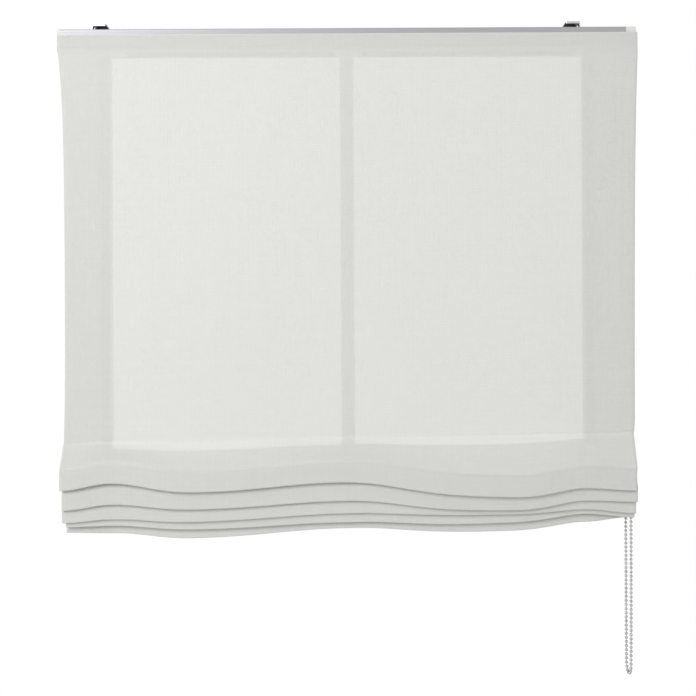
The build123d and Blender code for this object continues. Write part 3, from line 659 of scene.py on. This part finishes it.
TAPE_LAYER = 0.9 * MM
TAPE_COLUMNS = 7
WARP_PITCH, WEFT_PITCH = 0.7 * MM, 1.1 * MM
tape_weave, tree, shader, place = finish_named("woven_tape", (0.88, 0.88, 0.86), 0.85)
flat = tree.nodes.new("ShaderNodeUVMap")
flat.uv_map = "flat_cloth"
flat = flat.outputs["UV"]
ribs = joined(tree, "MAXIMUM", yarn(tree, flat, WARP_PITCH, "X"), yarn(tree, flat, WEFT_PITCH, "Y"))
tint(tree, shader, ribs, (0.82, 0.82, 0.80), (0.91, 0.91, 0.89))
glow = tree.nodes.new("ShaderNodeBsdfTranslucent")
glow.inputs["Color"].default_value = (0.90, 0.90, 0.88, 1.0)
raised(tree, ribs, 0.0002, shader, glow)
band = tree.nodes.new("ShaderNodeMixShader")
band.inputs["Fac"].default_value = 0.4
tree.links.new(shader.outputs["BSDF"], band.inputs[1])
tree.links.new(glow.outputs["BSDF"], band.inputs[2])
tree.links.new(band.outputs["Shader"], tree.nodes["Material Output"].inputs["Surface"])
for at, tape_x in PLACES.items():
    spots = [tape_x - MIDDLE_X + TAPE_HALF * (2 * step / (TAPE_COLUMNS - 1) - 1)
             for step in range(TAPE_COLUMNS)]
    strips = [column(x, TAPE_LAYER) for x in spots]
    tape = sheet_mesh(f"tape_{at}", strips, spots)
    tape.data.materials.append(tape_weave)
    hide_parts(f"lift_tape_{at}", f"tape_folds_{at}")
    shortens(tape)


# ---------------------------------------------------------------- lift cords
# Braided polyester, 1.4 mm thick. Each cord leaves the front of its drum, runs down
# through the rings and ends in its lock; the taken-up turns lie side by side on the drum.

CORD_RADIUS = 0.7 * MM
CORD_SIDES = 12
STRANDS = 4
LAY = 5.0 * MM
GROOVE = 0.07
braid, tree, shader, place = finish_named("braided_cord", (0.88, 0.88, 0.86), 0.75)
plaits = grain(tree, place, (0.0005, 0.0005, 0.0009), 1.0)
tint(tree, shader, plaits, (0.78, 0.78, 0.76), (0.92, 0.92, 0.90))
raised(tree, plaits, 0.0002, shader)


def cord_mesh(name, line):
    """A cord of twisted strands along a line of points, closed at both ends."""
    vertices, faces, travelled = [], [], 0.0
    reference = Vector((1, 0, 0))
    for index, point in enumerate(line):
        ahead = (line[min(index + 1, len(line) - 1)] - line[max(index - 1, 0)]).normalized()
        reference = (reference - ahead * reference.dot(ahead)).normalized()
        sideways = ahead.cross(reference)
        if index:
            travelled += (point - line[index - 1]).length
        for side in range(CORD_SIDES):
            angle = 2 * math.pi * side / CORD_SIDES
            twisted = STRANDS * angle + 2 * math.pi * travelled / LAY
            reach = CORD_RADIUS * (1 - GROOVE * (1 + math.cos(twisted)))
            vertices.append(point + (reference * math.cos(angle) + sideways * math.sin(angle)) * reach)
    for ring in range(len(line) - 1):
        for side in range(CORD_SIDES):
            a, b = ring * CORD_SIDES + side, ring * CORD_SIDES + (side + 1) % CORD_SIDES
            faces.append((a, b, b + CORD_SIDES, a + CORD_SIDES))
    faces.append(tuple(reversed(range(CORD_SIDES))))
    faces.append(tuple(range(len(vertices) - CORD_SIDES, len(vertices))))
    piece = piece_of(name, vertices, faces)
    piece.data.materials.append(braid)
    return piece


# A cord slants forward from its drum until it is in line with the rings, at TOP_RING_Z.
TOP_RING_Z = -0.118
CORD_STEP = 1.6 * MM
TURN_STEPS = 36
TURN_GAP = 0.02 * MM
for at, line_x in PLACES.items():
    low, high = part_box(f"lift_cord_{at}")
    drum_y, ring_y = high.y - CORD_RADIUS, low.y + CORD_RADIUS
    corners = [(line_x, drum_y, high.z), (line_x, ring_y, TOP_RING_Z), (line_x, ring_y, low.z)]
    corners = [Vector(corner) for corner in corners]
    line = []
    for a, b in zip(corners, corners[1:]):
        steps = round((b - a).length / CORD_STEP)
        line += [a.lerp(b, step / steps) for step in range(steps)]
    line.append(corners[-1])
    cord = cord_mesh(f"cord_{at}", line)
    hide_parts(f"lift_cord_{at}")
    shortens(cord)

    low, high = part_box(f"wound_cord_{at}")
    axle = Vector((0, (low.y + high.y) / 2, (low.z + high.z) / 2))
    radius = (high.z - low.z) / 2 - CORD_RADIUS
    pitch = 2 * CORD_RADIUS + TURN_GAP
    turns = (high.x - low.x - 2 * CORD_RADIUS) / pitch
    helix = []
    for step in range(int(turns * TURN_STEPS) + 1):
        angle = math.pi + 2 * math.pi * step / TURN_STEPS
        x = low.x + CORD_RADIUS + pitch * step / TURN_STEPS
        helix.append(Vector((x, axle.y + radius * math.cos(angle), axle.z + radius * math.sin(angle))))
    wound = cord_mesh(f"wound_turns_{at}", helix)
    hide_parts(f"wound_cord_{at}")
    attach(wound, "drive")


# ---------------------------------------------------------------- bead chain
# Polished stainless beads, 4.5 mm across and 6 mm apart, joined by short pins. The loop
# runs over the wheel in the clutch and closes in a sleeve on its rear strand.

BEAD_RADIUS = 2.25 * MM
BEAD_PITCH = 6.0 * MM
PIN_RADIUS = 0.55 * MM
chain_low, chain_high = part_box("bead_chain")
CHAIN_X = (chain_low.x + chain_high.x) / 2
REACH = (chain_high.y - chain_low.y) / 2 - BEAD_RADIUS
CORNER = REACH * math.tan(math.pi / 8)
AXLE_Z = chain_high.z - BEAD_RADIUS - REACH
LOW_Z = chain_low.z + BEAD_RADIUS + REACH

# The strands hang straight from LEAD below the wheel's axle to LEAD above the middle of the
# bottom bend. Below DRIFT_Z the front one drifts a little to the left.
LEAD = 27.0 * MM
DRIFT_Z = -0.620
route = [
    (CHAIN_X, 0.0, AXLE_Z + REACH),
    (CHAIN_X, -CORNER, AXLE_Z + REACH),
    (CHAIN_X, -REACH, AXLE_Z + CORNER),
    (CHAIN_X, -REACH, AXLE_Z - CORNER),
    (CHAIN_X, -REACH, AXLE_Z - LEAD),
    (CHAIN_X, -REACH, DRIFT_Z),
    (CHAIN_X - 0.0010, -REACH, LOW_Z + LEAD),
    (CHAIN_X - 0.0014, -REACH, LOW_Z + CORNER),
    (CHAIN_X - 0.0014, -REACH, LOW_Z - CORNER),
    (CHAIN_X - 0.0012, -CORNER, LOW_Z - REACH),
    (CHAIN_X - 0.0006, CORNER, LOW_Z - REACH),
    (CHAIN_X, REACH, LOW_Z - CORNER),
    (CHAIN_X, REACH, LOW_Z + CORNER),
    (CHAIN_X, REACH, LOW_Z + LEAD),
    (CHAIN_X, REACH, DRIFT_Z),
    (CHAIN_X, REACH, AXLE_Z - LEAD),
    (CHAIN_X, REACH, AXLE_Z - CORNER),
    (CHAIN_X, REACH, AXLE_Z + CORNER),
    (CHAIN_X, CORNER, AXLE_Z + REACH),
    (CHAIN_X, 0.0, AXLE_Z + REACH),
]
curve = bpy.data.curves.new("chain_route", "CURVE")
curve.dimensions = "3D"
curve.resolution_u = 24
spline = curve.splines.new("NURBS")
spline.points.add(len(route) - 1)
for point, where in zip(spline.points, route):
    point.co = (*where, 1.0)
spline.order_u = 3
spline.use_endpoint_u = True
guide = bpy.data.objects.new("chain_route", curve)
bpy.context.scene.collection.objects.link(guide)
traced = bpy.data.meshes.new_from_object(guide)
chain_line = [vertex.co.copy() for vertex in traced.vertices]
bpy.data.objects.remove(guide)

lengths = [0.0]
for a, b in zip(chain_line, chain_line[1:]):
    lengths.append(lengths[-1] + (b - a).length)
bead_count = int(lengths[-1] / BEAD_PITCH)
spacing = lengths[-1] / bead_count
beads, span = [], 0
for number in range(bead_count):
    distance = (number + 0.5) * spacing
    while lengths[span + 1] < distance:
        span += 1
    share = (distance - lengths[span]) / (lengths[span + 1] - lengths[span])
    beads.append(chain_line[span].lerp(chain_line[span + 1], share))

BEAD_RINGS = 8
BEAD_SIDES = 14
PIN_SIDES = 6
PIN_ENDS = (0.3, 0.7)
vertices, faces = [], []
for number, centre in enumerate(beads):
    ahead = (beads[min(number + 1, bead_count - 1)] - beads[max(number - 1, 0)]).normalized()
    first_side = Vector((1, 0, 0)) - ahead * ahead.x
    first_side.normalize()
    second_side = ahead.cross(first_side)
    start = len(vertices)
    vertices.append(centre - ahead * BEAD_RADIUS)
    for ring in range(1, BEAD_RINGS):
        tilt = math.pi * ring / BEAD_RINGS
        for side in range(BEAD_SIDES):
            angle = 2 * math.pi * side / BEAD_SIDES
            outward = first_side * math.cos(angle) + second_side * math.sin(angle)
            vertices.append(centre + (outward * math.sin(tilt) - ahead * math.cos(tilt)) * BEAD_RADIUS)
    vertices.append(centre + ahead * BEAD_RADIUS)
    for side in range(BEAD_SIDES):
        following = (side + 1) % BEAD_SIDES
        faces.append((start, start + 1 + following, start + 1 + side))
        top = start + 1 + (BEAD_RINGS - 2) * BEAD_SIDES
        faces.append((top + side, top + following, len(vertices) - 1))
        for ring in range(BEAD_RINGS - 2):
            a, b = start + 1 + ring * BEAD_SIDES + side, start + 1 + ring * BEAD_SIDES + following
            faces.append((a, b, b + BEAD_SIDES, a + BEAD_SIDES))
    if number == bead_count - 1:
        continue
    pin = beads[number + 1] - centre
    pin_start = len(vertices)
    for share in PIN_ENDS:
        for side in range(PIN_SIDES):
            angle = 2 * math.pi * side / PIN_SIDES
            outward = first_side * math.cos(angle) + second_side * math.sin(angle)
            vertices.append(centre + pin * share + outward * PIN_RADIUS)
    for side in range(PIN_SIDES):
        a, b = pin_start + side, pin_start + (side + 1) % PIN_SIDES
        faces.append((a, b, b + PIN_SIDES, a + PIN_SIDES))
    faces.append(tuple(reversed(range(pin_start, pin_start + PIN_SIDES))))
    faces.append(tuple(range(pin_start + PIN_SIDES, pin_start + 2 * PIN_SIDES)))
chain = piece_of("beads", vertices, faces)
polished, tree, shader, place = finish_named("polished_stainless", (0.66, 0.66, 0.66), 0.18, 1.0)
handled = grain(tree, place, (0.004, 0.004, 0.01), 3.0)
tint(tree, shader, handled, (0.56, 0.56, 0.56), (0.74, 0.74, 0.74))
roughen(tree, shader, handled, 0.12, 0.3)
chain.data.materials.append(polished)
dress(polished, "chain_connector")
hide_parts("bead_chain")
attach(chain, "rail")


# ---------------------------------------------------------------- studio
# A plain pale floor well below the blind, soft light from a large lamp on each side, and
# a white surround.

FLOOR_Z = -1.35
floor_plan = ((-1.4, -1.8), (1.4, -1.8), (1.4, 0.9), (-1.4, 0.9))
floor_corners = [(x, y, FLOOR_Z) for x, y in floor_plan]
floor = piece_of("floor", floor_corners, [(0, 1, 2, 3)])
matte, tree, shader, place = finish_named("pale_floor", (0.80, 0.80, 0.80), 0.8)
floor.data.materials.append(matte)

LIT_POINT = Vector((MIDDLE_X, 0, -0.4))
for name, where, size, power in (
    ("key", (-1.7, -2.3, 0.9), 1.6, 51.0),
    ("fill", (1.8, -2.2, 0.2), 1.8, 7.0),
):
    lamp = bpy.data.lights.new(name, "AREA")
    lamp.size = size
    lamp.energy = power
    softbox = bpy.data.objects.new(name, lamp)
    softbox.location = where
    softbox.rotation_euler = (LIT_POINT - Vector(where)).to_track_quat("-Z", "Y").to_euler()
    bpy.context.scene.collection.objects.link(softbox)

world = bpy.data.worlds.new("white_surround")
bpy.context.scene.world = world
world.use_nodes = True
surround = world.node_tree.nodes["Background"]
surround.inputs["Color"].default_value = (1.0, 1.0, 1.0, 1.0)
seen = world.node_tree.nodes.new("ShaderNodeLightPath")
level = world.node_tree.nodes.new("ShaderNodeMapRange")
level.inputs["To Min"].default_value = 0.49
level.inputs["To Max"].default_value = 1.0
world.node_tree.links.new(seen.outputs["Is Camera Ray"], level.inputs["Value"])
world.node_tree.links.new(level.outputs["Result"], surround.inputs["Strength"])
bpy.context.scene.view_settings.view_transform = "Standard"

camera = bpy.data.objects.new("camera", bpy.data.cameras.new("camera"))
camera.data.lens = 48.83
camera.data.sensor_width = 36.0
camera.location = (MIDDLE_X, -1.371, -0.467)
camera.rotation_euler = (math.radians(90), math.radians(0.3), 0)
bpy.context.scene.collection.objects.link(camera)
bpy.context.scene.camera = camera
